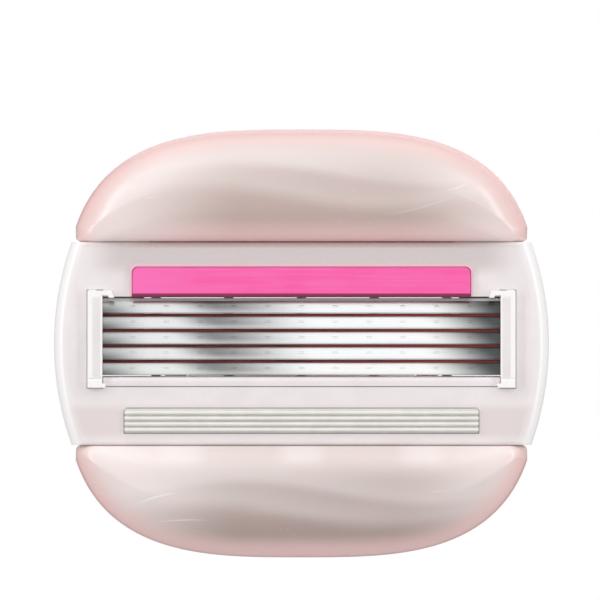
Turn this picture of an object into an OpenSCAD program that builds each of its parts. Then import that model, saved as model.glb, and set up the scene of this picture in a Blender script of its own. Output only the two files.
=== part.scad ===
// Five-blade shaving cartridge with two domed gel bars on sprung wings.
// +X is to the right, +Z is up (the lubricating strip's side) and the shaving
// face looks towards -Y. The origin is the middle of the docking socket's rear
// rim, where the handle meets the connector.
// Inside the head, depths are counted from the blade edges backwards.

/* [Whole cartridge] */
// Overall width, across the bowed sides of the frame
cartridge_w = 42; // [41:0.5:44]
// Overall height, across both gel bars
cartridge_h = 36.4; // [35:0.2:38]
// Height of the rigid frame between the gel bars
frame_h = 17.2; // [17:0.1:18]
// Depth from the blade edges back to the docking rim
face_depth = 16; // [15.8:0.1:18]

/* [Blades] */
// Distance from one blade edge to the next
blade_pitch = 1.305; // [1.28:0.005:1.33]
// Visible width of the blade window
window_w = 33.7; // [32:0.1:34]
// Front to back width of one blade strip
blade_strip_w = 1.1; // [1:0.02:1.14]
// Tilt of the blade strips from the shaving face
blade_tilt = 22; // [18:1:24]
// How far a blade can sink under load
blade_travel = 0.2; // [0.1:0.05:0.25]

/* [Strips] */
// Width of the lubricating strip
strip_w = 28.6; // [26:0.2:30]
// Width of the ribbed guard strip
guard_w = 30; // [28:0.2:31]
// Number of ribs on the guard strip
guard_ribs = 4; // [3:1:5]

/* [Gel bars] */
// How far the gel bars stand out in front of the blade edges
gel_proud = 1.4; // [0.6:0.1:2]

/* [Docking socket] */
// Width of the socket that takes the handle's nose
dock_w = 9.4; // [9:0.1:10.4]
// Height of the same socket
dock_h = 4.6; // [4.5:0.1:5]
// Depth of the same socket
dock_deep = 5; // [4.6:0.1:5.2]

/* [Hidden] */

// Curve fineness, and the overlap that joins two blocks of one piece
$fn = 64;
tiny = 0.01;
// Slip between pieces that are assembled into each other
slip = 0.05;
// How far a cutting shape runs past the surface that it cuts
over = 1;

// Head: where its middle lies above the docking socket
head_rise = 3;

// Rigid frame: side arcs, depths of its front and back faces
side_r = 25.4;
half_h = frame_h / 2;
frame_front = 0;
frame_back = 4.6;
frame_skin = 1.5;
side_round = 1.3;
back_round = 0.4;
edge_round = 0.35;
lip_w = 0.3;
lip_proud = 0.12;

// Blade window and the housing that fills it
edge_low = -2.66;
window_low = edge_low - 0.06;
window_high = 3.98;
rail_h = 0.94;
rail_deep = 0.35;
beam_front = 0.45;
rail_r = rail_h / 2 - slip;
rail_half_w = window_w / 2 - slip;
housing_low = window_low - rail_h;
housing_half_w = 18.2;
housing_back = 5;
housing_ribs = [-12.4, -6.2, 0, 6.2, 12.4];
housing_rib_t = 0.8;
wall_front = 0.6;
wall_in = window_w / 2 + 0.15;
cavity_half_w = housing_half_w + 0.25;
cavity_high = 5;
cavity_low = -4.6;

// Clips at both ends of the blades
clip_w = 1.27;
clip_high = 4.5;
clip_low = -3.74;
clip_gap = 0.06;
clip_proud = 0.45;
clip_lap = 0.62;
clip_front_t = 0.42;
clip_leg = 0.5;
clip_deep = housing_back + 0.05;
hook_reach = 1;
hook_t = 0.42;
hook_tip = 0.45;
hook_drop = 0.62;
foot_reach = 0.25;
foot_h = 0.35;
leg_end_t = 0.35;
leg_end_reach = 0.6;
clip_groove_z = -3;
clip_groove_r = 0.1;

// Blades and their bent supports
blade_half_w = window_w / 2 + 0.5;
blade_t = 0.1;
edge_len = 0.28;
support_t = 0.2;
support_start = edge_len + 0.12;
leg_rise = 1.19;
support_half_w = window_w / 2 + 0.75;
leg_deep = 2.9;
slot_slip = 0.06;
slot_deep = leg_deep + blade_travel + 0.25;
blade_end_room = 1;
blade_end_deep = 1.15;
rib_front = leg_deep + 0.85;

// Spring fingers under the ends of each support
finger_t = 0.34;
finger_z = 0.5;
finger_tip = support_half_w - 4.2;
finger_room_in = finger_tip - 0.3;
finger_room_deep = 1.2;
nub_r = 0.18;
nub_deep = leg_deep + nub_r + 0.02;

// Lubricating strip and guard strip
strip_low = 4.0;
strip_h = 2.46;
strip_proud = 0.35;
strip_deep = 1.1;
strip_round = 0.5;
peg_r = 0.55;
peg_deep = 3.4;
guard_low = -7.57;
guard_h = 2.09;
guard_proud = 0.25;
guard_deep = 0.95;
guard_round = 0.35;
rib_w = 0.3;
rib_h = 0.35;
rib_low = 0.28;
rib_high = 0.37;
rib_side = 0.15;
rib_pitch = (guard_h - rib_low - rib_high) / (guard_ribs - 1);
strip_pegs = [-11, 0, 11];
strip_peg_z = strip_low + 1.85;
guard_pegs = [-12, -4, 4, 12];
guard_peg_z = guard_low + guard_h / 2;

// Gel bars: outline |x/a|^n + |z/b|^n = 1, cut by a straight inner edge
gel_half_w = 20.2;
gel_power = 3.15;
gel_gap = 0.1;
gel_inner = half_h + gel_gap;
gel_inner_half_w = 19.2;
gel_back = 4.4;
gel_corner = 0.5;
gel_layers = 9;
gel_steps = 40;
gel_crest = -gel_proud;
gel_dome_start = 2.6;
gel_draw = 3.9;
gel_rear_round = 0.4;
gel_rear_draw = 0.35;
gel_inner_start = 0.4;
gel_inner_draw = 3.4;
carrier_front = 3.3;
carrier_back = frame_back;
carrier_inset = 1.3;
carrier_rim = 0.35;
carrier_rim_w = 0.6;
carrier_lip_side = 1;
carrier_lip_reach = 3;
anchor_r = 1;
anchor_head_r = 1.5;
anchor_head_t = 0.4;
anchor_head_sunk = 0.05;
anchor_x = [-11, -5.5, 0, 5.5, 11];
anchor_z = 12.6;

// Elastomer hinge bands behind the wings
band_half_w = 13;
band_reach = 1.15;
band_t = 0.6;
band_groove = 0.35;

// Pivot between the head and the connector
pivot_z = -4;
pivot_deep = 6.9;
pin_r = 0.75;
pin_clear = 0.05;
eye_r = 1.5;
ear_r = 1.7;
ear_sunk = 0.3;
ear_gap = 0.15;
arm_in = 7.9;
arm_out = 9.7;
ear_in = arm_out + ear_gap;
ear_out = 11.65;
pin_end = ear_out - 0.1;

// Docking socket body and yoke
dock_wall = 0.9;
dock_floor = 1.4;
dock_rim = 0.4;
dock_front = -dock_deep - dock_floor;
collar_front = -1.2;
collar_back = -0.5;
bar_t = 2;
bar_front = face_depth + dock_front - 2 * slip;
bar_back = bar_front + bar_t;
yoke_round = 1.7;
yoke_inner_round = 0.9;
catch_w = 2.4;
catch_deep = 1.3;
catch_back = 1.9;

// Colours
pearl = [0.93, 0.9, 0.9];
steel = [0.78, 0.78, 0.8];
pink = [1, 0.39, 0.67];
gel_tint = [0.93, 0.82, 0.8];
grey = [0.82, 0.81, 0.79];
dark_steel = [0.55, 0.53, 0.53];
soft_pink = [0.9, 0.72, 0.74];

// ---- Helpers ----

// Moves a piece of the head from face depths into the cartridge's own frame
module in_head() {
    translate([0, -face_depth, head_rise]) children();
}

// Extrudes an outline drawn in X and Z between two depths
module between(front, back) {
    translate([0, back, 0])
        rotate([90, 0, 0])
            linear_extrude(back - front) children();
}

// A block from its low and high corners
module block(low, high) {
    translate(low) cube(high - low);
}

// A cylinder along Y between two depths
module round_y(r, front, back) {
    translate([0, front, 0]) rotate([-90, 0, 0]) cylinder(r = r, h = back - front);
}

// A cylinder along X between two places
module round_x(r, from, to) {
    translate([from, 0, 0]) rotate([0, 90, 0]) cylinder(r = r, h = to - from);
}

// A rectangle with round corners, in X and Z
module soft_rect(half_w, low, high, r) {
    for (x = [-half_w + r, half_w - r], z = [low + r, high - r])
        translate([x, z]) circle(r = r);
    translate([-half_w, low + r]) square([2 * half_w, high - low - 2 * r]);
    translate([-half_w + r, low]) square([2 * half_w - 2 * r, high - low]);
}

// Two half circles joined by straight sides
module obround(w, h) {
    for (x = [-1, 1]) translate([x * (w - h) / 2, 0]) circle(d = h);
    translate([-(w - h) / 2, -h / 2]) square([w - h, h]);
}

module mirrored_x() {
    children();
    mirror([1, 0, 0]) children();
}

// ---- Rigid frame ----

// One thick disc of the side arc's radius, its front edge rounded over
module side_disc(side) {
    arc_x = cartridge_w / 2 - side_r;
    translate([side * arc_x, 0, 0])
        rotate([90, 0, 0])
            rotate_extrude($fn = 160) union() {
                translate([0, -frame_back + back_round])
                    square([side_r, frame_back - back_round - side_round]);
                translate([0, -frame_back])
                    square([side_r - back_round, frame_back - side_round]);
                translate([0, -side_round]) square([side_r - side_round, side_round]);
                translate([side_r - side_round, -side_round]) circle(r = side_round);
                translate([side_r - back_round, back_round - frame_back])
                    circle(r = back_round);
            }
}

// Section of the frame in depth and height, with soft long edges
module frame_section() {
    translate([frame_back / 2, 0])
        soft_rect(frame_back / 2, -half_h, half_h, edge_round);
}

// Raised lip round the lubricating strip's pocket
module strip_lip() {
    between(-lip_proud, lip_proud) strip_outline(lip_w);
}

module frame_body() {
    intersection() {
        side_disc(1);
        side_disc(-1);
        bar_along_x(cartridge_w / 2) frame_section();
        between(frame_front, frame_back)
            soft_rect(cartridge_w / 2, -half_h, half_h, edge_round);
    }
    strip_lip();
}

module clip_pocket() {
    block([window_w / 2 - clip_gap, frame_front - over, clip_low - clip_gap],
          [window_w / 2 + clip_w + clip_gap, housing_back + over, clip_high + clip_gap]);
}

module window_opening() {
    block([-window_w / 2, frame_front - over, housing_low],
          [window_w / 2, frame_skin + over, window_high]);
}

module rear_cavity() {
    block([-cavity_half_w, frame_skin, cavity_low],
          [cavity_half_w, frame_back + over, cavity_high]);
}

module strip_outline(grow) {
    union() {
        soft_rect(strip_w / 2 + grow, strip_low - grow, strip_low + strip_h + grow,
                  strip_round);
        translate([-strip_w / 2 - grow, strip_low - grow])
            square([strip_w + 2 * grow, strip_h / 2]);
    }
}

module guard_outline(grow) {
    union() {
        soft_rect(guard_w / 2 + grow, guard_low - grow, guard_low + guard_h + grow,
                  guard_round);
        translate([-guard_w / 2 - grow, guard_low - grow])
            square([guard_w + 2 * grow, guard_h / 2]);
    }
}

module pegs(places, z, r, front, back) {
    for (x = places) translate([x, 0, z]) round_y(r, front, back);
}

module outer_frame() color(pearl) in_head() {
    difference() {
        frame_body();
        window_opening();
        mirrored_x() clip_pocket();
        rear_cavity();
        between(frame_front - over, strip_deep + slip) strip_outline(slip);
        between(frame_front - over, guard_deep + slip) guard_outline(slip);
        pegs(strip_pegs, strip_peg_z, peg_r + slip, 0, peg_deep + slip);
        pegs(guard_pegs, guard_peg_z, peg_r + slip, 0, peg_deep + slip);
        for (side = [-1, 1])
            band_block(side, half_h - band_reach - slip, half_h + over, slip);
    }
}

// ---- Blade housing ----

function edge_z(k) = edge_low + (k - 1) * blade_pitch;
function leg_z(k) = edge_z(k) + leg_rise;

module housing_ear() {
    translate([0, pivot_deep, pivot_z]) round_x(ear_r, ear_in, ear_out);
    block([ear_in, housing_back - ear_sunk, pivot_z - ear_r],
          [ear_out, pivot_deep, pivot_z + ear_r]);
}

module blade_housing() color(pearl) in_head() {
    beam_low = leg_z(5) + support_t / 2 + slot_slip;
    difference() {
        union() {
            // end walls behind the clips
            mirrored_x()
                block([wall_in, wall_front, housing_low],
                      [housing_half_w, housing_back, window_high]);
            // lower beam, with a rail round at its top in front of the first blade
            block([-rail_half_w, beam_front, housing_low + slip],
                  [rail_half_w, housing_back, window_low - slip]);
            translate([0, rail_deep, housing_low + rail_h / 2])
                round_x(rail_r, -rail_half_w, rail_half_w);
            block([-rail_half_w, rail_deep - rail_r, housing_low + slip],
                  [rail_half_w, beam_front + tiny, housing_low + rail_h / 2]);
            block([-housing_half_w, frame_skin + slip, cavity_low + slip],
                  [housing_half_w, housing_back, window_low - slip]);
            // upper beam behind the lubricating strip
            block([-housing_half_w, frame_skin + slip, beam_low],
                  [housing_half_w, housing_back, cavity_high - slip]);
            // rear ribs that leave the rinse windows open
            for (x = housing_ribs)
                block([x - housing_rib_t / 2, rib_front, window_low - 2 * slip],
                      [x + housing_rib_t / 2, housing_back, beam_low + tiny]);
            mirrored_x() housing_ear();
        }
        // room for each support to sink in the end walls
        for (k = [1:5])
            block([-support_half_w - slot_slip, wall_front - over,
                   leg_z(k) - support_t / 2 - slot_slip],
                  [support_half_w + slot_slip, slot_deep,
                   leg_z(k) + support_t / 2 + slot_slip]);
        // room for the spring fingers to bend
        for (k = [1:5])
            mirrored_x() finger_room(k);
        // room for the blade ends and platforms
        mirrored_x()
            block([window_w / 2 - blade_end_room, wall_front - over, window_low - slip],
                  [blade_half_w + 2 * slip, blade_end_deep, window_high + over]);
        // clip legs pass through to the back
        mirrored_x() clip_legs(slip);
        // pivot bores
        mirrored_x()
            translate([0, pivot_deep, pivot_z])
                round_x(pin_r + pin_clear, ear_in - over, ear_out + over);
    }
}

// ---- Clips ----

module clip_legs(grow) {
    out = window_w / 2 + clip_w;
    for (z = [clip_low, clip_high - clip_leg])
        block([window_w / 2 + clip_lap - grow, 0, z - grow],
              [out + grow, clip_deep + over, z + clip_leg + grow]);
}

module clip_right_shape() {
    inner = window_w / 2;
    out = inner + clip_w;
    difference() {
        union() {
            // bar across the blade ends
            block([inner, -clip_proud, clip_low], [out, wall_front - slip, clip_high]);
            // hook that reaches in over the window's top corner
            between(-clip_proud, -slip) polygon([
                [inner + tiny, clip_high],
                [inner - hook_reach + hook_tip / 2, clip_high],
                [inner - hook_reach, clip_high - hook_drop],
                [inner - hook_reach + hook_tip, clip_high - hook_drop],
                [inner - hook_reach + 1.2 * hook_tip, clip_high - hook_t],
                [inner + tiny, clip_high - hook_t]
            ]);
            // foot at the window's lower corner
            block([inner - foot_reach, -clip_proud, clip_low],
                  [inner + tiny, -slip, clip_low + foot_h]);
            // legs through the housing, bent over behind it
            for (z = [clip_low, clip_high - clip_leg])
                block([inner + clip_lap, 0, z],
                      [out, clip_deep + leg_end_t, z + clip_leg]);
            for (z = [clip_low, clip_high - clip_leg - leg_end_reach])
                block([inner + clip_lap, clip_deep, z],
                      [out, clip_deep + leg_end_t, z + clip_leg + leg_end_reach]);
        }
        // the blade ends lie under the bar
        block([inner - over, clip_front_t - clip_proud, window_low - slip],
              [inner + clip_lap, wall_front + over, window_high]);
        // cross groove above the foot
        translate([inner - over, -clip_proud, clip_groove_z])
            round_x(clip_groove_r, 0, clip_w + 2 * over);
    }
}

module clip_right() color(pearl) in_head() clip_right_shape();
module clip_left() color(pearl) in_head() mirror([1, 0, 0]) clip_right_shape();

// ---- Blades ----

// Section of a blade strip, its ground edge at the origin, in depth and height
module blade_section() {
    polygon([
        [0, 0],
        [edge_len, -blade_t / 2],
        [blade_strip_w, -blade_t / 2],
        [blade_strip_w, blade_t / 2],
        [edge_len, blade_t / 2]
    ]);
}

// Turns a section drawn in height and depth into a bar along X
module bar_along_x(half_w) {
    translate([-half_w, 0, 0])
        rotate([90, 0, 90]) linear_extrude(2 * half_w) children();
}

module blade(k) color(steel) in_head()
    translate([0, 0, edge_z(k)])
        bar_along_x(blade_half_w) rotate(90 - blade_tilt) blade_section();

// Platform under the strip, and the leg that is bent back from its rear end
module blade_support(k) color(dark_steel) in_head() {
    lift = blade_t / 2 + support_t / 2;
    bend = leg_rise / cos(blade_tilt) + lift * tan(blade_tilt);
    bend_deep = leg_rise * tan(blade_tilt) + lift / cos(blade_tilt);
    translate([0, 0, edge_z(k)])
        bar_along_x(blade_half_w - 2 * slip)
            rotate(90 - blade_tilt) {
                translate([support_start, -lift - support_t / 2])
                    square([bend - support_start, support_t]);
                translate([bend, -lift]) circle(d = support_t);
            }
    block([-support_half_w, bend_deep, leg_z(k) - support_t / 2],
          [support_half_w, leg_deep, leg_z(k) + support_t / 2]);
}

module finger(k) {
    low = leg_z(k) - finger_z / 2;
    high = leg_z(k) + finger_z / 2;
    front = nub_deep + nub_r;
    block([finger_tip, front, low], [wall_in, front + finger_t, high]);
    translate([finger_tip + nub_r, nub_deep, low]) cylinder(r = nub_r, h = finger_z);
    block([finger_tip, nub_deep, low], [finger_tip + 2 * nub_r, front + tiny, high]);
}

module finger_room(k) {
    block([finger_room_in, leg_deep, leg_z(k) - finger_z / 2 - slot_slip],
          [wall_in, leg_deep + finger_room_deep, leg_z(k) + finger_z / 2 + slot_slip]);
}

module spring_fingers(k) color(pearl) in_head() mirrored_x() finger(k);

// ---- Strips ----

module lubricating_strip() color(pink) in_head() {
    between(-strip_proud, strip_deep) strip_outline(0);
    pegs(strip_pegs, strip_peg_z, peg_r, strip_deep - tiny, peg_deep);
}

module guard_strip() color(grey) in_head() {
    between(rib_h - guard_proud, guard_deep) guard_outline(0);
    for (i = [0:guard_ribs - 1])
        translate([0, 0, guard_low + rib_low + i * rib_pitch]) guard_rib();
    pegs(guard_pegs, guard_peg_z, peg_r, guard_deep - tiny, peg_deep);
}

// One rib with a round crest
module guard_rib() {
    half = guard_w / 2 - rib_side;
    translate([0, rib_w / 2 - guard_proud, 0]) round_x(rib_w / 2, -half, half);
    block([-half, rib_w / 2 - guard_proud, -rib_w / 2],
          [half, rib_h - guard_proud + tiny, rib_w / 2]);
}

// ---- Wings ----

// Height of the outline at a place across the bar, and its half width at a height
function gel_z(x, shrink) =
    (cartridge_h / 2 - shrink)
    * pow(max(0, 1 - pow(abs(x) / (gel_half_w - shrink), gel_power)), 1 / gel_power);

// Outline of an upper bar, its arc drawn in by shrink and its inner edge by lift
module gel_outline(shrink, lift) {
    low = gel_inner + lift;
    half_top = gel_half_w - shrink;
    reach = min(gel_inner_half_w - shrink,
                half_top * pow(1 - pow(low / (cartridge_h / 2 - shrink), gel_power),
                               1 / gel_power));
    arc = [
        for (i = [0:gel_steps])
            let (x = reach * sin(90 * (1 - 2 * i / gel_steps)))
            [x, max(low + gel_corner, gel_z(x, shrink))]
    ];
    foot = [[-reach, low + gel_corner], [-reach + gel_corner, low],
            [reach - gel_corner, low], [reach, low + gel_corner]];
    polygon(concat(foot, arc));
}

// Depth of a layer and how far its outline is drawn in, on a quarter round
function layer_angle(i) = 90 * i / (gel_layers - 1);

// How far the inner edge is drawn in at a depth, on a flatter quarter round
function inner_lift(deep) =
    let (rise = max(0, gel_inner_start - deep) / (gel_inner_start - gel_crest))
    gel_inner_draw * (1 - sqrt(max(0, 1 - rise * rise)));

module gel_dome() {
    hull() {
        between(gel_dome_start, gel_back - gel_rear_round) gel_outline(0, 0);
        between(gel_back - tiny, gel_back) gel_outline(gel_rear_draw, gel_rear_draw);
        for (i = [1:gel_layers - 1])
            let (front = gel_dome_start - (gel_dome_start - gel_crest)
                         * sin(layer_angle(i)))
            between(front, front + tiny)
                gel_outline(gel_draw * (1 - cos(layer_angle(i))), inner_lift(front));
    }
}

// Outline of a wing carrier, with the lip that meets the hinge band
module carrier_outline(grow, lip_low) {
    lip_half_w = band_half_w + carrier_lip_side + grow;
    gel_outline(carrier_inset - grow, carrier_inset - grow);
    translate([-lip_half_w, lip_low])
        square([2 * lip_half_w, gel_inner + carrier_lip_reach - lip_low]);
}

module upper_gel_shape() {
    difference() {
        gel_dome();
        between(carrier_front, gel_back + over) carrier_outline(slip, gel_inner - over);
    }
    // anchors that lock the gel through the carrier
    for (x = anchor_x)
        translate([x, 0, anchor_z]) {
            round_y(anchor_r, carrier_front - tiny, carrier_back - anchor_head_t);
            round_y(anchor_head_r, carrier_back - anchor_head_t - tiny,
                    carrier_back - anchor_head_sunk);
        }
}

module upper_carrier_shape() {
    // stiffening rim round the back
    between(carrier_back - tiny, carrier_back + carrier_rim) difference() {
        gel_outline(carrier_inset, carrier_inset);
        gel_outline(carrier_inset + carrier_rim_w, carrier_inset + carrier_rim_w);
    }
    difference() {
        between(carrier_front + tiny, carrier_back) carrier_outline(0, gel_inner);
        for (x = anchor_x)
            translate([x, 0, anchor_z]) {
                round_y(anchor_r + slip, 0, carrier_back + over);
                round_y(anchor_head_r + slip, carrier_back - anchor_head_t - 2 * slip,
                        carrier_back + over);
            }
        band_block(1, gel_inner - over, gel_inner + band_reach + slip, slip);
    }
}

module upper_gel_bar() color(gel_tint) in_head() upper_gel_shape();
module lower_gel_bar() color(gel_tint) in_head() mirror([0, 0, 1]) upper_gel_shape();
module upper_wing_carrier() color(pearl) in_head() upper_carrier_shape();
module lower_wing_carrier() color(pearl) in_head()
    mirror([0, 0, 1]) upper_carrier_shape();

// Room for a hinge band, and the band itself, on the upper (1) or lower (-1) side
module band_block(side, low, high, grow) {
    mirror([0, 0, side > 0 ? 0 : 1])
        block([-band_half_w - grow, frame_back - band_groove - grow, low],
              [band_half_w + grow, frame_back + band_t, high]);
}

module hinge_band(side) color(soft_pink) in_head()
    band_block(side, half_h - band_reach, gel_inner + band_reach, 0);

// ---- Connector ----

// Eye at the end of an arm, with its pivot pin
module connector_eye() {
    translate([0, pivot_deep, pivot_z]) {
        round_x(eye_r, arm_in, arm_out);
        round_x(pin_r, arm_out - tiny, pin_end);
    }
}

// Two arms and the bar that joins them, as one U with round corners
module yoke() {
    translate([0, 0, pivot_z - eye_r])
        linear_extrude(2 * eye_r)
            intersection() {
                difference() {
                    soft_rect(arm_out, 0, bar_back, yoke_round);
                    soft_rect(arm_in, -yoke_round, bar_front, yoke_inner_round);
                }
                translate([-arm_out, pivot_deep]) square(2 * arm_out);
            }
}

module connector() color(pearl) {
    difference() {
        union() {
            between(dock_front, 0) obround(dock_w + 2 * dock_wall, dock_h + 2 * dock_wall);
            between(collar_front, collar_back)
                obround(dock_w + 2 * dock_wall + 2 * dock_rim,
                        dock_h + 2 * dock_wall + 2 * dock_rim);
            in_head() mirrored_x() connector_eye();
            in_head() yoke();
        }
        between(-dock_deep, over) obround(dock_w, dock_h);
        // catch windows in both flat walls
        block([-catch_w / 2, -catch_back - catch_deep, -dock_h],
              [catch_w / 2, -catch_back, dock_h]);
    }
}

connector();
outer_frame();
blade_housing();
lubricating_strip();
guard_strip();
clip_left();
clip_right();
blade(1);  // blade_1
blade(2);  // blade_2
blade(3);  // blade_3
blade(4);  // blade_4
blade(5);  // blade_5
blade_support(1);  // blade_support_1
blade_support(2);  // blade_support_2
blade_support(3);  // blade_support_3
blade_support(4);  // blade_support_4
blade_support(5);  // blade_support_5
spring_fingers(1);  // spring_fingers_1
spring_fingers(2);  // spring_fingers_2
spring_fingers(3);  // spring_fingers_3
spring_fingers(4);  // spring_fingers_4
spring_fingers(5);  // spring_fingers_5
upper_wing_carrier();
lower_wing_carrier();
upper_gel_bar();
lower_gel_bar();
hinge_band(1);  // upper_hinge_band
hinge_band(-1);  // lower_hinge_band
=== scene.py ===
"""Finishes a five-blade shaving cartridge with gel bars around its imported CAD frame."""

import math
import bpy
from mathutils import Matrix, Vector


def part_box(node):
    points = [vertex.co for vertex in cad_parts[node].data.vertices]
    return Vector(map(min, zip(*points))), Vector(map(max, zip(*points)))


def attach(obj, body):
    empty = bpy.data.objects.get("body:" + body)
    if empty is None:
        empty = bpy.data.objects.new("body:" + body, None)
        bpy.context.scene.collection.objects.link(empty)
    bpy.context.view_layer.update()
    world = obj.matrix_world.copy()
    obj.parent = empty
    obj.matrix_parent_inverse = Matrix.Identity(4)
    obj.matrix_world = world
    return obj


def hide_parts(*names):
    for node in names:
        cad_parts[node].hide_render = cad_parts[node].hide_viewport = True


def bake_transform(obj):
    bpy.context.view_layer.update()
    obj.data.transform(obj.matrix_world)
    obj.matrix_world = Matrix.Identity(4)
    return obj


bl_info = {
    "name": "Shaving Cartridge Finisher",
    "version": (1, 0, 0),
    "blender": (4, 5, 0),
    "location": "3D View > Sidebar > Cartridge",
    "description": "Meshes and materials for a five-blade shaving cartridge with gel bars",
    "category": "Object",
}

import bmesh
import bpy
from bpy.props import FloatProperty, FloatVectorProperty, IntProperty, PointerProperty
from bpy.types import Operator, Panel, PropertyGroup
from mathutils import Matrix, Vector

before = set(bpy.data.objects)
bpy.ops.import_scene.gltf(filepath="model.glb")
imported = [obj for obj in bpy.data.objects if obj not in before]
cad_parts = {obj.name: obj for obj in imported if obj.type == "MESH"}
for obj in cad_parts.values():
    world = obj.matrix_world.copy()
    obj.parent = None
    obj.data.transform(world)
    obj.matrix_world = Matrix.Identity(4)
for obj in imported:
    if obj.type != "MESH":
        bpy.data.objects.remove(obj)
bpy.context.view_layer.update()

MM = 0.001
UPPER = 1
LOWER = -1
BLADES = range(1, 6)

# Measures read from the frame
FRAME_LOW, FRAME_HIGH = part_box("outer_frame")
GEL_LOW, GEL_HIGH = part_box("upper_gel_bar")
CARRIER_LOW, CARRIER_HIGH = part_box("upper_wing_carrier")
MID_Z = (FRAME_LOW.z + FRAME_HIGH.z) / 2
FACE_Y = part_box("blade_3")[0].y
HALF_H = FRAME_HIGH.z - MID_Z
TOP_Z = GEL_HIGH.z - MID_Z


# ---------------------------------------------------------------- settings


class CartridgeShape(PropertyGroup):
    """Sizes of the finished pieces."""

    edge_soft: FloatProperty(
        name="Moulded edge",
        description="Width of the softened edges of the moulded pieces",
        default=0.10 * MM, min=0.0, unit="LENGTH",
    )
    clip_soft: FloatProperty(
        name="Clip edge",
        description="Width of the softened edges of the clips",
        default=0.12 * MM, min=0.0, unit="LENGTH",
    )
    strip_soft: FloatProperty(
        name="Strip edge",
        description="Width of the softened edges of the lubricating strip",
        default=0.16 * MM, min=0.0, unit="LENGTH",
    )
    gel_draw: FloatProperty(
        name="Gel shoulder",
        description="How far in from its outline a gel bar reaches its crest",
        default=4.1 * MM, min=0.0, unit="LENGTH",
    )
    gel_rings: IntProperty(
        name="Gel rings",
        description="Rings of faces between a gel bar's side and its crest",
        default=18, min=4, max=40,
    )
    weld_count: IntProperty(
        name="Welds",
        description="Spot welds along each blade",
        default=11, min=3, max=21,
    )
    weld_pitch: FloatProperty(
        name="Weld pitch",
        description="Distance from one spot weld to the next",
        default=2.86 * MM, min=0.0, unit="LENGTH",
    )


class CartridgeColours(PropertyGroup):
    """Colours of the finishes."""

    pearl: FloatVectorProperty(
        name="Pearl plastic", description="Colour of the frame, clips and connector",
        default=(0.84, 0.78, 0.78), size=3, min=0, max=1, subtype="COLOR",
    )
    # Painted shade: the darker lower part of each gel bar
    gel_lower_shade: FloatVectorProperty(
        name="Gel body", description="Colour in the lower part of the gel bars",
        default=(0.54, 0.41, 0.375), size=3, min=0, max=1, subtype="COLOR",
    )
    # Painted light: the paler upper part of each gel bar
    gel_upper_lit: FloatVectorProperty(
        name="Gel pale", description="Colour in the upper part of the gel bars",
        default=(0.77, 0.67, 0.64), size=3, min=0, max=1, subtype="COLOR",
    )
    gel_end: FloatVectorProperty(
        name="Gel ends", description="Colour towards both ends of the gel bars",
        default=(1.0, 0.90, 0.88), size=3, min=0, max=1, subtype="COLOR",
    )
    # Painted light: the pink of light through the thin rim of the gel bars
    gel_rim_light: FloatVectorProperty(
        name="Gel rim", description="Colour along the rim of the gel bars",
        default=(0.93, 0.63, 0.61), size=3, min=0, max=1, subtype="COLOR",
    )
    lubricant: FloatVectorProperty(
        name="Lubricating strip", description="Colour of the strip above the blades",
        default=(1.0, 0.105, 0.39), size=3, min=0, max=1, subtype="COLOR",
    )
    guard: FloatVectorProperty(
        name="Guard strip", description="Colour of the ribbed elastomer",
        default=(0.87, 0.85, 0.81), size=3, min=0, max=1, subtype="COLOR",
    )
    # Painted shade: the dark red-brown of the gaps between the blades, with a painted pink
    # reflection
    support: FloatVectorProperty(
        name="Blade supports", description="Colour of the bent strips under the blades",
        default=(0.27, 0.07, 0.065), size=3, min=0, max=1, subtype="COLOR",
    )
    hinge: FloatVectorProperty(
        name="Hinge bands", description="Colour of the soft bands behind the wings",
        default=(0.88, 0.52, 0.55), size=3, min=0, max=1, subtype="COLOR",
    )


def shape():
    return bpy.context.scene.cartridge_shape


def colours():
    return bpy.context.scene.cartridge_colours


# ---------------------------------------------------------------- node helpers

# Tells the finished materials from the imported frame's own plain ones
FINISH = "_finish"

# The part of a noise texture's range that holds most of its values
NOISE_SPAN = (0.3, 0.7)

# Object coordinates times this are in millimetres
PER_MM = (1 / MM, 1 / MM, 1 / MM)


def add_node(tree, kind, settings=None, **inputs):
    """A node with its settings and its unlinked inputs, by input name."""
    made = tree.nodes.new(kind)
    for key, value in (settings or {}).items():
        setattr(made, key, value)
    for key, value in inputs.items():
        made.inputs[key.replace("_", " ")].default_value = value
    return made


def join(tree, source, target):
    tree.links.new(source, target)


def maths(tree, operation, first, second=None, clamp=False):
    """A Math node; its operands are sockets or numbers."""
    made = tree.nodes.new("ShaderNodeMath")
    made.operation = operation
    made.use_clamp = clamp
    for place, value in enumerate((first, second)):
        if value is None:
            continue
        if isinstance(value, (int, float)):
            made.inputs[place].default_value = value
        else:
            join(tree, value, made.inputs[place])
    return made.outputs[0]


def ramp(tree, value, low, high, to_low=0.0, to_high=1.0):
    """A smooth step of value from low to high."""
    made = tree.nodes.new("ShaderNodeMapRange")
    made.interpolation_type = "SMOOTHSTEP"
    join(tree, value, made.inputs["Value"])
    made.inputs["From Min"].default_value = low
    made.inputs["From Max"].default_value = high
    made.inputs["To Min"].default_value = to_low
    made.inputs["To Max"].default_value = to_high
    return made.outputs["Result"]


def mix_colour(tree, factor, first, second, blend="MIX"):
    """Mixes two colours, each a socket or a three-number colour."""
    made = tree.nodes.new("ShaderNodeMix")
    made.data_type = "RGBA"
    made.blend_type = blend
    if isinstance(factor, (int, float)):
        made.inputs[0].default_value = factor
    else:
        join(tree, factor, made.inputs[0])
    for place, value in ((6, first), (7, second)):
        if isinstance(value, bpy.types.NodeSocket):
            join(tree, value, made.inputs[place])
        else:
            made.inputs[place].default_value = (*value, 1.0)
    return made.outputs[2]


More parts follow.
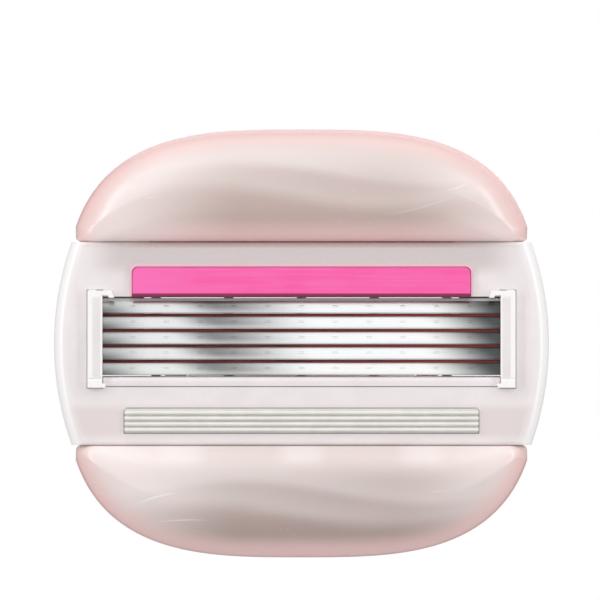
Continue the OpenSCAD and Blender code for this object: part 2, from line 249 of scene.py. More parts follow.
def scaled_place(tree, scale, centre=(0.0, 0.0, 0.0)):
    """Object coordinates from a centre, scaled along each axis."""
    place = tree.nodes.new("ShaderNodeTexCoord").outputs["Object"]
    mapping = tree.nodes.new("ShaderNodeMapping")
    mapping.inputs["Scale"].default_value = scale
    mapping.inputs["Location"].default_value = [-c * s for c, s in zip(centre, scale)]
    join(tree, place, mapping.inputs["Vector"])
    return mapping.outputs["Vector"]


def head_place(tree):
    """Across, depth and height sockets, in millimetres, height from the head's middle."""
    split = tree.nodes.new("ShaderNodeSeparateXYZ")
    join(tree, scaled_place(tree, PER_MM, (0.0, FACE_Y, MID_Z)), split.inputs[0])
    return split.outputs


def noise(tree, vector, scale, detail=3.0, distortion=0.0):
    made = add_node(tree, "ShaderNodeTexNoise", Scale=scale, Detail=detail,
                    Distortion=distortion)
    join(tree, vector, made.inputs["Vector"])
    return made.outputs["Fac"]


def new_group(name, inputs, outputs):
    """An empty shader group with float inputs and outputs of the named kinds."""
    group = bpy.data.node_groups.new(name, "ShaderNodeTree")
    for label, default in inputs:
        socket = group.interface.new_socket(
            name=label, in_out="INPUT", socket_type="NodeSocketFloat")
        socket.default_value = default
    for label in outputs:
        group.interface.new_socket(
            name=label, in_out="OUTPUT", socket_type="NodeSocketFloat")
    entry = group.nodes.new("NodeGroupInput")
    leave = group.nodes.new("NodeGroupOutput")
    return group, entry.outputs, leave.inputs


def use_group(tree, group, **inputs):
    made = tree.nodes.new("ShaderNodeGroup")
    made.node_tree = group
    for key, value in inputs.items():
        made.inputs[key.replace("_", " ")].default_value = value
    return made.outputs


def shell_material(name):
    """A material with a Principled BSDF: returns it, its tree and the shader's inputs."""
    material = bpy.data.materials.new(name + FINISH)
    material.use_nodes = True
    tree = material.node_tree
    shader = tree.nodes["Principled BSDF"]
    return material, tree, shader.inputs


def add_bump(tree, inputs, height, strength, distance):
    bump = add_node(tree, "ShaderNodeBump", Strength=strength, Distance=distance)
    join(tree, height, bump.inputs["Height"])
    join(tree, bump.outputs["Normal"], inputs["Normal"])


# ---------------------------------------------------------------- shared effects

# Parts of the cloudiness and the fine grain in a moulded surface's height
CLOUD_PART = 0.6
GRAIN_PART = 0.4

# Keeps a flow line's width above zero at its ends
LEAST_WIDTH = 0.0001


def build_moulded_grain():
    """Faint mould texture: slow cloudiness, fine grain and their sum as a height."""
    group, given, out = new_group(
        "moulded_grain",
        [("Cloud Size", 3.0), ("Grain Size", 0.12)],
        ["Cloud", "Grain", "Height"],
    )
    place = scaled_place(group, PER_MM)
    cloud = add_node(group, "ShaderNodeTexNoise", Detail=3.0, Distortion=0.6)
    grain = add_node(group, "ShaderNodeTexNoise", Detail=2.0)
    for texture, size in ((cloud, "Cloud Size"), (grain, "Grain Size")):
        join(group, place, texture.inputs["Vector"])
        join(group, maths(group, "DIVIDE", 1.0, given[size]), texture.inputs["Scale"])
    join(group, ramp(group, cloud.outputs["Fac"], *NOISE_SPAN), out["Cloud"])
    join(group, grain.outputs["Fac"], out["Grain"])
    slow = maths(group, "MULTIPLY", cloud.outputs["Fac"], CLOUD_PART)
    fine = maths(group, "MULTIPLY", grain.outputs["Fac"], GRAIN_PART)
    join(group, maths(group, "ADD", slow, fine), out["Height"])
    return group


def build_pearl_fleck():
    """Tiny mica flecks: a mask of scattered bright cells."""
    group, given, out = new_group(
        "pearl_fleck", [("Fleck Size", 0.09), ("Share", 0.12)], ["Mask"])
    place = scaled_place(group, PER_MM)
    cells = add_node(group, "ShaderNodeTexVoronoi")
    join(group, place, cells.inputs["Vector"])
    join(group, maths(group, "DIVIDE", 1.0, given["Fleck Size"]), cells.inputs["Scale"])
    split = group.nodes.new("ShaderNodeSeparateColor")
    join(group, cells.outputs["Color"], split.inputs["Color"])
    join(group, maths(group, "LESS_THAN", split.outputs[0], given["Share"]), out["Mask"])
    return group


def build_long_streaks():
    """Streaks that run along X, as rolling, grinding and extruding leave them."""
    group, given, out = new_group(
        "long_streaks", [("Width", 0.05), ("Length", 4.0)], ["Streak"])
    place = group.nodes.new("ShaderNodeTexCoord").outputs["Object"]
    split = group.nodes.new("ShaderNodeSeparateXYZ")
    join(group, place, split.inputs[0])
    merged = group.nodes.new("ShaderNodeCombineXYZ")
    for axis, size in ((0, "Length"), (1, "Width"), (2, "Width")):
        in_mm = maths(group, "DIVIDE", split.outputs[axis], MM)
        join(group, maths(group, "DIVIDE", in_mm, given[size]), merged.inputs[axis])
    texture = add_node(group, "ShaderNodeTexNoise", Scale=1.0, Detail=4.0)
    join(group, merged.outputs[0], texture.inputs["Vector"])
    join(group, texture.outputs["Fac"], out["Streak"])
    return group


def build_bar_rim():
    """How near a place is to the gel bars' outline: 0 in the middle, 1 on the rim."""
    group, given, out = new_group(
        "bar_rim", [("Start", 0.45), ("End", 1.0)], ["Outline", "Rim"])
    place = group.nodes.new("ShaderNodeTexCoord").outputs["Object"]
    split = group.nodes.new("ShaderNodeSeparateXYZ")
    join(group, place, split.inputs[0])
    across = maths(group, "DIVIDE", maths(group, "ABSOLUTE", split.outputs[0]), BAR_HALF_W)
    height = maths(group, "SUBTRACT", split.outputs[2], MID_Z)
    up = maths(group, "DIVIDE", maths(group, "ABSOLUTE", height), TOP_Z)
    outline = maths(group, "ADD",
                    maths(group, "POWER", across, BAR_POWER),
                    maths(group, "POWER", up, BAR_POWER))
    join(group, outline, out["Outline"])
    step = group.nodes.new("ShaderNodeMapRange")
    step.interpolation_type = "SMOOTHSTEP"
    join(group, outline, step.inputs["Value"])
    join(group, given["Start"], step.inputs["From Min"])
    join(group, given["End"], step.inputs["From Max"])
    join(group, step.outputs["Result"], out["Rim"])
    return group


def build_flow_line():
    """A thin line that swells in its middle, from one place to another, in millimetres."""
    group, given, out = new_group(
        "flow_line",
        [("X Start", 0.0), ("Z Start", 0.0), ("X End", 1.0), ("Z End", 0.0),
         ("Sag", 0.2), ("Width", 0.1)],
        ["Mask"],
    )
    run, depth, height = head_place(group)
    length = maths(group, "SUBTRACT", given["X End"], given["X Start"])
    along = maths(group, "DIVIDE", maths(group, "SUBTRACT", run, given["X Start"]), length,
                  clamp=True)
    # along * (1 - along) peaks at a quarter
    swell = maths(group, "MULTIPLY", maths(group, "MULTIPLY", along, 4.0),
                  maths(group, "SUBTRACT", 1.0, along))
    climb = maths(group, "MULTIPLY", maths(
        group, "SUBTRACT", given["Z End"], given["Z Start"]), along)
    line = maths(group, "ADD", maths(group, "ADD", given["Z Start"], climb),
                 maths(group, "MULTIPLY", swell, given["Sag"]))
    off = maths(group, "ABSOLUTE", maths(group, "SUBTRACT", height, line))
    wide = maths(group, "ADD", maths(group, "MULTIPLY", swell, given["Width"]),
                 LEAST_WIDTH)
    fade = maths(group, "SUBTRACT", 1.0, maths(group, "DIVIDE", off, wide), clamp=True)
    join(group, maths(group, "MULTIPLY", fade, swell), out["Mask"])
    return group


def effect(name):
    """The shared effect of that name, built the first time it is asked for."""
    if name not in bpy.data.node_groups:
        EFFECTS[name]()
    return bpy.data.node_groups[name]


EFFECTS = {
    "moulded_grain": build_moulded_grain,
    "pearl_fleck": build_pearl_fleck,
    "long_streaks": build_long_streaks,
    "bar_rim": build_bar_rim,
    "flow_line": build_flow_line,
}


# ---------------------------------------------------------------- materials

# Places on the frame, in millimetres, that its tones follow
SIDE_R = 25.4  # radius of the frame's bowed sides
FIRST_EDGE_Z = (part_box("blade_1")[0].z - MID_Z) / MM
CLIP_OUTER = -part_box("clip_left")[0].x / MM
CLIP_INNER = 16.84  # the clips' edge on the blades' side
CLIP_TOP = (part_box("clip_left")[1].z - MID_Z) / MM
CLIP_LOW = (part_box("clip_left")[0].z - MID_Z) / MM
STRIP_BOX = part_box("lubricating_strip")
STRIP_HALF_W = STRIP_BOX[1].x / MM
STRIP_Z = ((STRIP_BOX[0].z + STRIP_BOX[1].z) / 2 - MID_Z) / MM
STRIP_HALF_H = (STRIP_BOX[1].z - STRIP_BOX[0].z) / 2 / MM

# Where a tone starts and where it is full, in millimetres: depth behind the face, across
# from the middle, height above the middle, or distance from an edge. A third and a
# fourth number are its least and its most strength.
FRONT_FADE = (3.4, 2.6)
MIDDLE_FADE = (18.8, 15.2)
UPPER_SHADE_FADE = (5.4, 7.0)
TOP_SHADOW_FADE = (8.0, 8.4)
TOP_SHADOW_SPREAD = (17.5, 11.0, 0.2, 1.0)
LOWER_TOP_FADE = (-4.9, -5.8)
LOWER_BASE_FADE = (-8.3, -7.5)
SIDE_HIGHLIGHT_FADE = (1.5, 0.3)
PINK_LIGHT_FADE = (0.42, 0.1, 0.0, 0.7)
CLIP_OUTER_FADE = (0.34, 0.50)
CLIP_INNER_FADE = (0.10, 0.24)
CLIP_TOP_FADE = (CLIP_TOP - 0.4, CLIP_TOP - 0.75)
CLIP_LOW_FADE = (CLIP_LOW + 0.8, CLIP_LOW + 0.95)

# Colours: the flecks; the frame's painted highlight at its sides, painted pink light round
# the strip, painted shade above it, painted shadow along its top edge and painted shade
# round the guard
MICA = (0.95, 0.90, 0.90)
FRAME_SIDE_HIGHLIGHT = (1.0, 0.97, 0.97)
FRAME_PINK_LIGHT = (0.93, 0.55, 0.62)
FRAME_UPPER_SHADE = (0.66, 0.60, 0.595)
FRAME_TOP_SHADOW = (0.50, 0.36, 0.345)
FRAME_LOWER_SHADE = (0.79, 0.71, 0.70)

# The gel's painted tones, with strengths as for the frame. First the rim, painted pink as
# light through the thin gel, and the line along it, by the outline's own measure, which is 1
# on the outline
GEL_RIM = (0.66, 1.0)
GEL_LINE_RIM = (0.955, 0.99)
GEL_LINE_PART = 0.7

# Painted light and shade, by millimetres above a bar's lower edge: shade low on each bar and
# paler higher up, more shade on the lower bar, pink light along the edge and highlights near
# the frame
GEL_LIT_RISE = (2.4, 8.6)
GEL_SHADED_RISE = (8.8, 6.2, 0.0, 0.2)
GEL_EDGE_LIGHT_RISE = (2.2, 0.2, 0.0, 0.8)
GEL_HIGHLIGHT_RISE = (7.4, 8.6)

# Tone of the ends, by millimetres across from a place right of the middle
GEL_END_MIDDLE = 1.5
GEL_END_FADE = (6.0, 18.5, 0.0, 0.75)

# Painted highlights along the lower bar near the frame: their pitch in millimetres and how
# their cosine fades them
GEL_HIGHLIGHT_PITCH = 10.2
GEL_HIGHLIGHT_FADE = (0.0, 1.0, 0.0, 0.3)

# Colours of the swirls, the painted highlights, the line along the rim, the flow lines and
# the shade
GEL_SWIRL = (1.0, 0.96, 0.94)
GEL_HIGHLIGHT = (1.0, 0.97, 0.96)
GEL_LINE = (0.84, 0.38, 0.40)
GEL_FLOW = (1.0, 0.95, 0.94)
BLACK = (0.0, 0.0, 0.0)

# Broad swirls, in millimetres: their wave's length, half its height, how they fade above
# it, and for each its height above a bar's lower edge, crest, softness and strength
GEL_WAVE_LENGTH = 31.0
GEL_WAVE_TALL = 0.9
GEL_WAVE_FADE = (2.6, 0.2)
GEL_WAVES = ((3.7, -8.5, 0.8, 0.24), (5.6, -5.0, 0.5, 0.24))

# Thin flow lines, in millimetres: both ends, sag, half width and strength
GEL_SWOOSHES = (
    ((-14.4, -13.8), (-10.4, -12.6), 0.22, 0.14, 0.75),
    ((-12.9, -15.2), (-7.5, -14.95), 0.16, 0.08, 0.55),
    ((12.0, 12.8), (14.5, 13.8), -0.08, 0.09, 0.6),
    ((6.0, 10.9), (14.2, 13.2), -0.55, 0.12, 0.2),
    ((-13.4, 12.3), (-11.9, 12.4), 0.03, 0.08, 0.45),
    ((10.6, -12.6), (12.4, -12.4), 0.02, 0.06, 0.35),
)


def frame_tone(tree, colour):
    """Paints light and shade on the frame: shade above the strip and round the guard, a
    shadow along its top edge, highlights at its sides and pink light round the strip.
    """
    run, depth, height = head_place(tree)
    across = maths(tree, "ABSOLUTE", run)
    front = ramp(tree, depth, *FRONT_FADE)
    middle = maths(tree, "MULTIPLY", ramp(tree, across, *MIDDLE_FADE), front)
    # Painted shade above the strip, under the upper gel bar
    upper = maths(tree, "MULTIPLY", ramp(tree, height, *UPPER_SHADE_FADE), middle)
    colour = mix_colour(tree, upper, colour, FRAME_UPPER_SHADE)
    # Painted shadow of the upper gel bar along the frame's top edge
    spread = maths(tree, "MULTIPLY", ramp(tree, across, *TOP_SHADOW_SPREAD), front)
    edge = maths(tree, "MULTIPLY", ramp(tree, height, *TOP_SHADOW_FADE), spread)
    colour = mix_colour(tree, edge, colour, FRAME_TOP_SHADOW)
    # Painted shade round the guard
    lower = maths(tree, "MULTIPLY", ramp(tree, height, *LOWER_TOP_FADE),
                  ramp(tree, height, *LOWER_BASE_FADE))
    lower = maths(tree, "MULTIPLY", lower, front)
    colour = mix_colour(tree, lower, colour, FRAME_LOWER_SHADE)
    # Painted highlight along the frame's rounded sides
    reach = maths(tree, "ADD", across, SIDE_R - FRAME_HIGH.x / MM)
    squares = maths(tree, "ADD", maths(tree, "MULTIPLY", reach, reach),
                    maths(tree, "MULTIPLY", height, height))
    inward = maths(tree, "SUBTRACT", SIDE_R, maths(tree, "SQRT", squares))
    colour = mix_colour(tree, ramp(tree, inward, *SIDE_HIGHLIGHT_FADE), colour, FRAME_SIDE_HIGHLIGHT)
    # Painted pink light from the strip on the frame round it
    beside = maths(tree, "SUBTRACT", across, STRIP_HALF_W)
    above = maths(tree, "SUBTRACT", maths(
        tree, "ABSOLUTE", maths(tree, "SUBTRACT", height, STRIP_Z)), STRIP_HALF_H)
    outside = maths(tree, "MAXIMUM", beside, above)
    pink_light = maths(tree, "MULTIPLY", ramp(tree, outside, *PINK_LIGHT_FADE), front)
    return mix_colour(tree, pink_light, colour, FRAME_PINK_LIGHT)


def clip_tone(tree, colour):
    """Tones a clip: a painted highlight along its border, round a field of its own pearl."""
    run, depth, height = head_place(tree)
    across = maths(tree, "ABSOLUTE", run)
    outer = maths(tree, "SUBTRACT", CLIP_OUTER, across)
    inner = maths(tree, "SUBTRACT", across, CLIP_INNER)
    sides = maths(tree, "MULTIPLY", ramp(tree, outer, *CLIP_OUTER_FADE),
                  ramp(tree, inner, *CLIP_INNER_FADE))
    ends = maths(tree, "MULTIPLY", ramp(tree, height, *CLIP_TOP_FADE),
                 ramp(tree, height, *CLIP_LOW_FADE))
    field = maths(tree, "MULTIPLY", sides, ends)
    # The border takes the painted highlight; the field keeps the pearl
    return mix_colour(tree, field, FRAME_SIDE_HIGHLIGHT, colour)


def pearl_plastic(name="pearl_plastic", tone=None):
    """Satin pearl white plastic with mica flecks."""
    material, tree, shader = shell_material(name)
    grain = use_group(tree, effect("moulded_grain"), Cloud_Size=4.0, Grain_Size=0.15)
    fleck = use_group(tree, effect("pearl_fleck"), Fleck_Size=0.08, Share=0.10)
    base = colours().pearl
    lighter = [min(1.0, c * 1.06) for c in base]
    colour = mix_colour(tree, grain["Cloud"], base, lighter)
    if tone:
        colour = tone(tree, colour)
    glint = maths(tree, "MULTIPLY", fleck["Mask"], 0.10)
    join(tree, mix_colour(tree, glint, colour, MICA), shader["Base Color"])
    join(tree, ramp(tree, grain["Grain"], *NOISE_SPAN, 0.30, 0.40), shader["Roughness"])
    add_bump(tree, shader, grain["Height"], 0.25, 0.01 * MM)
    shader["Coat Weight"].default_value = 0.35
    shader["Coat Roughness"].default_value = 0.18
    shader["Subsurface Weight"].default_value = 0.12
    shader["Subsurface Radius"].default_value = (1.0, 0.75, 0.7)
    shader["Subsurface Scale"].default_value = 0.8 * MM
    return material


# The blades' painted reflections and shade, along the blade in millimetres, or across it as
# a share of its width, with strengths as above; SWAY is how far the bands lean over the
# width
SWAY = 1.6
REFLECTION_DIP_LEFT = (-10.3, -6.3)
REFLECTION_DIP_RIGHT = (2.2, -6.5)
REFLECTION_DIP_ACROSS = (0.05, 0.5, 0.55, 1.0)
RIGHT_END_REFLECTION = (11.0, 17.3)
LEFT_END_SHADE = (-12.5, -17.3)
LEFT_SHADE_ACROSS = (0.8, 0.1, 0.55, 1.0)
REFLECTION_BRIGHTER = (-9.0, 2.0)
STEEL = (0.68, 0.69, 0.69)
STEEL_REFLECTION_BRIGHT = (0.80, 0.805, 0.805)
STEEL_REFLECTION_DIP = (0.20, 0.205, 0.20)
STEEL_RIGHT_REFLECTION = (0.045, 0.05, 0.05)
STEEL_LEFT_SHADE = (0.11, 0.12, 0.12)
STEEL_SCRATCH = (0.5, 0.5, 0.5)


def blade_steel():
    """Ground strip steel with painted light on: a bright reflection, a dark dip in it, a
    dark reflection at the right end and shade at the left end.
    """
    material, tree, shader = shell_material("blade_steel")
    streak = use_group(tree, effect("long_streaks"), Width=0.03, Length=5.0)
    across = tree.nodes.new("ShaderNodeAttribute")
    across.attribute_name = "across"
    place = scaled_place(tree, PER_MM)
    split = tree.nodes.new("ShaderNodeSeparateXYZ")
    join(tree, place, split.inputs[0])
    run = split.outputs[0]
    sway = maths(tree, "MULTIPLY", across.outputs["Fac"], SWAY)
    swayed = maths(tree, "ADD", run, sway)
    # Painted dark dip in the blades' reflection, leaning across the blade
    reflection_dip = maths(tree, "MULTIPLY", ramp(tree, swayed, *REFLECTION_DIP_LEFT),
                 ramp(tree, swayed, *REFLECTION_DIP_RIGHT))
    reflection_dip = maths(tree, "MULTIPLY", reflection_dip,
                 ramp(tree, across.outputs["Fac"], *REFLECTION_DIP_ACROSS))
    # Painted dark reflection at the right end and painted shade at the left end, by the clip
    right = ramp(tree, swayed, *RIGHT_END_REFLECTION)
    left = maths(tree, "MULTIPLY", ramp(tree, run, *LEFT_END_SHADE),
                 ramp(tree, across.outputs["Fac"], *LEFT_SHADE_ACROSS))
    # Painted bright reflection, rising from the left towards the middle
    colour = mix_colour(tree, ramp(tree, run, *REFLECTION_BRIGHTER), STEEL, STEEL_REFLECTION_BRIGHT)
    colour = mix_colour(tree, reflection_dip, colour, STEEL_REFLECTION_DIP)
    colour = mix_colour(tree, right, colour, STEEL_RIGHT_REFLECTION)
    colour = mix_colour(tree, left, colour, STEEL_LEFT_SHADE)
    fine = ramp(tree, streak["Streak"], *NOISE_SPAN, 0.0, 0.10)
    join(tree, mix_colour(tree, fine, colour, STEEL_SCRATCH), shader["Base Color"])
    join(tree, ramp(tree, streak["Streak"], *NOISE_SPAN, 0.20, 0.32), shader["Roughness"])
    add_bump(tree, shader, streak["Streak"], 0.15, 0.004 * MM)
    shader["Metallic"].default_value = 1.0
    return material


# The supports' red-brown is painted shade with a painted pink reflection, paler towards the
# right;
# it stops above the blades and gives way to painted light below them
GAP_SHADE_PALES = (-4.0, 17.0)
GAP_SHADE_TOP = (3.3, 3.45)
GAP_SHADE_BASE = (FIRST_EDGE_Z + 0.02, FIRST_EDGE_Z - 0.06)
PALE_STEEL_TOP = (0.85, 0.86, 0.86)
PAINTED_LIGHT_BASE = (0.86, 0.82, 0.81)


def support_steel():
    """Rolled strip of the supports: painted red-brown shade, pale above the blades and with
    painted light below them.
    """
    material, tree, shader = shell_material("support_steel")
    streak = use_group(tree, effect("long_streaks"), Width=0.08, Length=3.0)
    # The base colour is painted shade with a painted pink reflection
    base = colours().support
    lighter = [c * 1.9 for c in base]
    tone = ramp(tree, streak["Streak"], 0.35, 0.65)
    run, depth, height = head_place(tree)
    gap_shade = mix_colour(tree, tone, base, lighter)
    # Painted light, paler towards the right
    paler = [min(1.0, c * 2.2) for c in base]
    gap_shade = mix_colour(tree, ramp(tree, run, *GAP_SHADE_PALES), gap_shade, paler)
    pale_top = ramp(tree, height, *GAP_SHADE_TOP)
    gap_shade = mix_colour(tree, pale_top, gap_shade, PALE_STEEL_TOP)
    # Painted light below the first blade's edge
    low = ramp(tree, height, *GAP_SHADE_BASE)
    join(tree, mix_colour(tree, low, gap_shade, PAINTED_LIGHT_BASE), shader["Base Color"])
    join(tree, ramp(tree, streak["Streak"], *NOISE_SPAN, 0.42, 0.58), shader["Roughness"])
    add_bump(tree, shader, streak["Streak"], 0.2, 0.01 * MM)
    shader["Metallic"].default_value = 0.3
    return material


# The strip is lighter towards its left end, with painted shade along its lower edge
STRIP_LIGHTER = (-7.0, -14.0, 0.0, 0.6)
STRIP_LOW = STRIP_Z - STRIP_HALF_H
STRIP_LOWER_SHADE = (STRIP_LOW + 0.32, STRIP_LOW + 0.17)


def lubricant():
    """Waxy pink strip with extrusion streaks."""
    material, tree, shader = shell_material("pink_lubricant")
    streak = use_group(tree, effect("long_streaks"), Width=0.22, Length=6.0)
    grain = use_group(tree, effect("moulded_grain"), Cloud_Size=2.5, Grain_Size=0.07)
    base = colours().lubricant
    lighter = (base[0], min(1.0, base[1] * 1.7), min(1.0, base[2] * 1.35))
    tone = ramp(tree, streak["Streak"], 0.35, 0.68)
    colour = mix_colour(tree, maths(tree, "MULTIPLY", tone, 0.6), base, lighter)
    soft = maths(tree, "MULTIPLY", grain["Cloud"], 0.25)
    colour = mix_colour(tree, soft, colour, lighter)
    run, depth, height = head_place(tree)
    colour = mix_colour(tree, ramp(tree, run, *STRIP_LIGHTER), colour, lighter)
    # Painted shade along the strip's lower edge, which faces down
    edge = ramp(tree, height, *STRIP_LOWER_SHADE)
    deep = (base[0] * 0.28, base[1] * 0.1, base[2] * 0.2)
    join(tree, mix_colour(tree, edge, colour, deep), shader["Base Color"])
    join(tree, ramp(tree, grain["Grain"], *NOISE_SPAN, 0.42, 0.60), shader["Roughness"])
    height = maths(tree, "ADD", maths(tree, "MULTIPLY", streak["Streak"], 0.7),
                   maths(tree, "MULTIPLY", grain["Height"], 0.5))
    add_bump(tree, shader, height, 0.45, 0.03 * MM)
    shader["Subsurface Weight"].default_value = 0.2
    shader["Subsurface Radius"].default_value = (1.0, 0.35, 0.5)
    shader["Subsurface Scale"].default_value = 0.5 * MM
    return material


# Depth at which painted shade darkens the guard's grooves, and by how much
GROOVE_SHADE_FADE = (-0.10, 0.05, 0.0, 0.3)


def guard_elastomer():
    """Soft matt elastomer of the guard."""
    material, tree, shader = shell_material("guard_elastomer")
    grain = use_group(tree, effect("moulded_grain"), Cloud_Size=1.6, Grain_Size=0.06)
    base = colours().guard
    darker = [c * 0.94 for c in base]
    run, depth, height = head_place(tree)
    # Painted shade in the grooves between the ribs
    groove_shade = ramp(tree, depth, *GROOVE_SHADE_FADE)
    colour = mix_colour(tree, grain["Cloud"], darker, base)
    join(tree, mix_colour(tree, groove_shade, colour, [c * 0.5 for c in base]),
         shader["Base Color"])
    join(tree, ramp(tree, grain["Grain"], *NOISE_SPAN, 0.5, 0.66), shader["Roughness"])
    add_bump(tree, shader, grain["Height"], 0.35, 0.02 * MM)
    return material


def hinge_elastomer():
    """Soft pink elastomer of the hinge bands."""
    material, tree, shader = shell_material("hinge_elastomer")
    grain = use_group(tree, effect("moulded_grain"), Cloud_Size=1.8, Grain_Size=0.08)
    base = colours().hinge
    darker = [c * 0.9 for c in base]
    join(tree, mix_colour(tree, grain["Cloud"], darker, base), shader["Base Color"])
    join(tree, ramp(tree, grain["Grain"], *NOISE_SPAN, 0.46, 0.6), shader["Roughness"])
    add_bump(tree, shader, grain["Height"], 0.35, 0.02 * MM)
    shader["Subsurface Weight"].default_value = 0.2
    shader["Subsurface Scale"].default_value = 0.5 * MM
    return material


def bar_height(tree, height):
    """Millimetres above a bar's lower edge, whichever bar it is."""
    below = maths(tree, "LESS_THAN", height, 0.0)
    lifted = maths(tree, "MULTIPLY", below, (TOP_Z + GEL_LOW.z - MID_Z) / MM)
    from_middle = maths(tree, "ADD", height, lifted)
    return maths(tree, "SUBTRACT", from_middle, (GEL_LOW.z - MID_Z) / MM)


def gel_wave(tree, run, rise, middle, crest, soft):
    """A broad light swirl above a wave, fading upwards."""
    phase = maths(tree, "MULTIPLY", maths(tree, "SUBTRACT", run, crest),
                  2 * math.pi / GEL_WAVE_LENGTH)
    wave = maths(tree, "MULTIPLY", maths(tree, "COSINE", phase), GEL_WAVE_TALL)
    above = maths(tree, "SUBTRACT", maths(tree, "SUBTRACT", rise, middle), wave)
    return maths(tree, "MULTIPLY", ramp(tree, above, -soft, soft),
                 ramp(tree, above, *GEL_WAVE_FADE))


def gel_swooshes(tree):
    """The thin flow lines, summed."""
    total = None
    for start, end, sag, width, strength in GEL_SWOOSHES:
        line = use_group(tree, effect("flow_line"), X_Start=start[0], Z_Start=start[1],
                         X_End=end[0], Z_End=end[1], Sag=sag, Width=width)
        mask = maths(tree, "MULTIPLY", line["Mask"], strength)
        total = mask if total is None else maths(tree, "MAXIMUM", total, mask)
    return total


def pink_gel():
    """Partly translucent gel, with painted pink light through its thin rim, beige in the
    middle, and painted shade and highlights.
    """
    material, tree, shader = shell_material("pink_gel")
    run, depth, height = head_place(tree)
    rise = bar_height(tree, height)
    rim = use_group(tree, effect("bar_rim"), Start=GEL_RIM[0], End=GEL_RIM[1])
    line = use_group(tree, effect("bar_rim"), Start=GEL_LINE_RIM[0],
                     End=GEL_LINE_RIM[1])
    grain = use_group(tree, effect("moulded_grain"), Cloud_Size=7.0, Grain_Size=0.25)
    # Painted shade low on each bar, paler higher up where light falls
    colour = mix_colour(tree, ramp(tree, rise, *GEL_LIT_RISE), colours().gel_lower_shade,
                        colours().gel_upper_lit)
    below = maths(tree, "LESS_THAN", height, 0.0)
    shaded = maths(tree, "MULTIPLY", below, ramp(tree, rise, *GEL_SHADED_RISE))
    colour = mix_colour(tree, shaded, colour, BLACK)
    # Painted pink light through the thin gel along a bar's lower edge
    near = mix_colour(tree, ramp(tree, rise, *GEL_EDGE_LIGHT_RISE), colour,
                      colours().gel_rim_light)
    ends = ramp(tree, maths(tree, "ABSOLUTE", maths(tree, "SUBTRACT", run, GEL_END_MIDDLE)),
                *GEL_END_FADE)
    colour = mix_colour(tree, ends, near, colours().gel_end)
    for middle, crest, soft, strength in GEL_WAVES:
        wave = gel_wave(tree, run, rise, middle, crest, soft)
        colour = mix_colour(tree, maths(tree, "MULTIPLY", wave, strength), colour,
                            GEL_SWIRL)
    # Painted highlights along the lower bar, where it faces up near the frame
    highlights = maths(tree, "COSINE", maths(tree, "MULTIPLY", run, 2 * math.pi / GEL_HIGHLIGHT_PITCH))
    highlights = maths(tree, "MULTIPLY", ramp(tree, highlights, *GEL_HIGHLIGHT_FADE), below)
    highlights = maths(tree, "MULTIPLY", highlights, ramp(tree, rise, *GEL_HIGHLIGHT_RISE))
    colour = mix_colour(tree, highlights, colour, GEL_HIGHLIGHT)
    cloud = maths(tree, "MULTIPLY", grain["Height"], 0.10)
    colour = mix_colour(tree, cloud, colour, colours().gel_end)
    # Painted pink light through the thin gel along the rim
    colour = mix_colour(tree, rim["Rim"], colour, colours().gel_rim_light)
    thin = maths(tree, "MULTIPLY", line["Rim"], GEL_LINE_PART)
    colour = mix_colour(tree, thin, colour, GEL_LINE)
    swoosh = gel_swooshes(tree)
    join(tree, mix_colour(tree, swoosh, colour, GEL_FLOW), shader["Base Color"])
    join(tree, ramp(tree, grain["Height"], 0.2, 0.8, 0.24, 0.28), shader["Roughness"])
    add_bump(tree, shader, maths(tree, "ADD", swoosh, maths(
        tree, "MULTIPLY", grain["Grain"], 0.02)), 0.2, 0.02 * MM)
    shader["Coat Weight"].default_value = 0.5
    shader["Coat Roughness"].default_value = 0.4
    shader["Subsurface Weight"].default_value = 0.3
    shader["Subsurface Radius"].default_value = (1.0, 0.55, 0.5)
    shader["Subsurface Scale"].default_value = 0.8 * MM
    return material


def pale_card(name, tone):
    """Seamless paper of the stage."""
    material, tree, shader = shell_material(name)
    fibre = noise(tree, scaled_place(tree, (1.0, 1.0, 1.0)), 60.0, 4.0)
    light = [min(1.0, c * 1.01) for c in tone]
    join(tree, mix_colour(tree, fibre, tone, light), shader["Base Color"])
    join(tree, ramp(tree, fibre, *NOISE_SPAN, 0.8, 0.92), shader["Roughness"])
    return material


def frame_pearl():
    """The same pearl on the frame, with painted light and shade on it."""
    return pearl_plastic("frame_pearl", frame_tone)


def clip_pearl():
    """The same pearl on the clips, with a painted highlight round the border."""
    return pearl_plastic("clip_pearl", clip_tone)


FINISHES = {
    "pearl_plastic": pearl_plastic,
    "frame_pearl": frame_pearl,
    "clip_pearl": clip_pearl,
    "blade_steel": blade_steel,
    "support_steel": support_steel,
    "pink_lubricant": lubricant,
    "guard_elastomer": guard_elastomer,
    "hinge_elastomer": hinge_elastomer,
    "pink_gel": pink_gel,
}


def finish_of(name):
    """The material of that name, built the first time it is asked for."""
    if name + FINISH not in bpy.data.materials:
        FINISHES[name]()
    return bpy.data.materials[name + FINISH]


# ---------------------------------------------------------------- mesh helpers


def new_piece(name, bm, material, body, slot, *stands_for):
    """A finished piece from a bmesh, riding on a body."""
    mesh = bpy.data.meshes.new(name)
    bm.to_mesh(mesh)
    bm.free()
    piece = bpy.data.objects.new(name, mesh)
    bpy.context.scene.collection.objects.link(piece)
    mesh.materials.append(finish_of(material))
    if body:
        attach(piece, body)
    if stands_for:
        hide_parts(*stands_for)
    return piece


# Vertices this close are one; faces this near to parallel are joined
SAME_PLACE = 0.002 * MM
SAME_PLANE = math.radians(0.6)


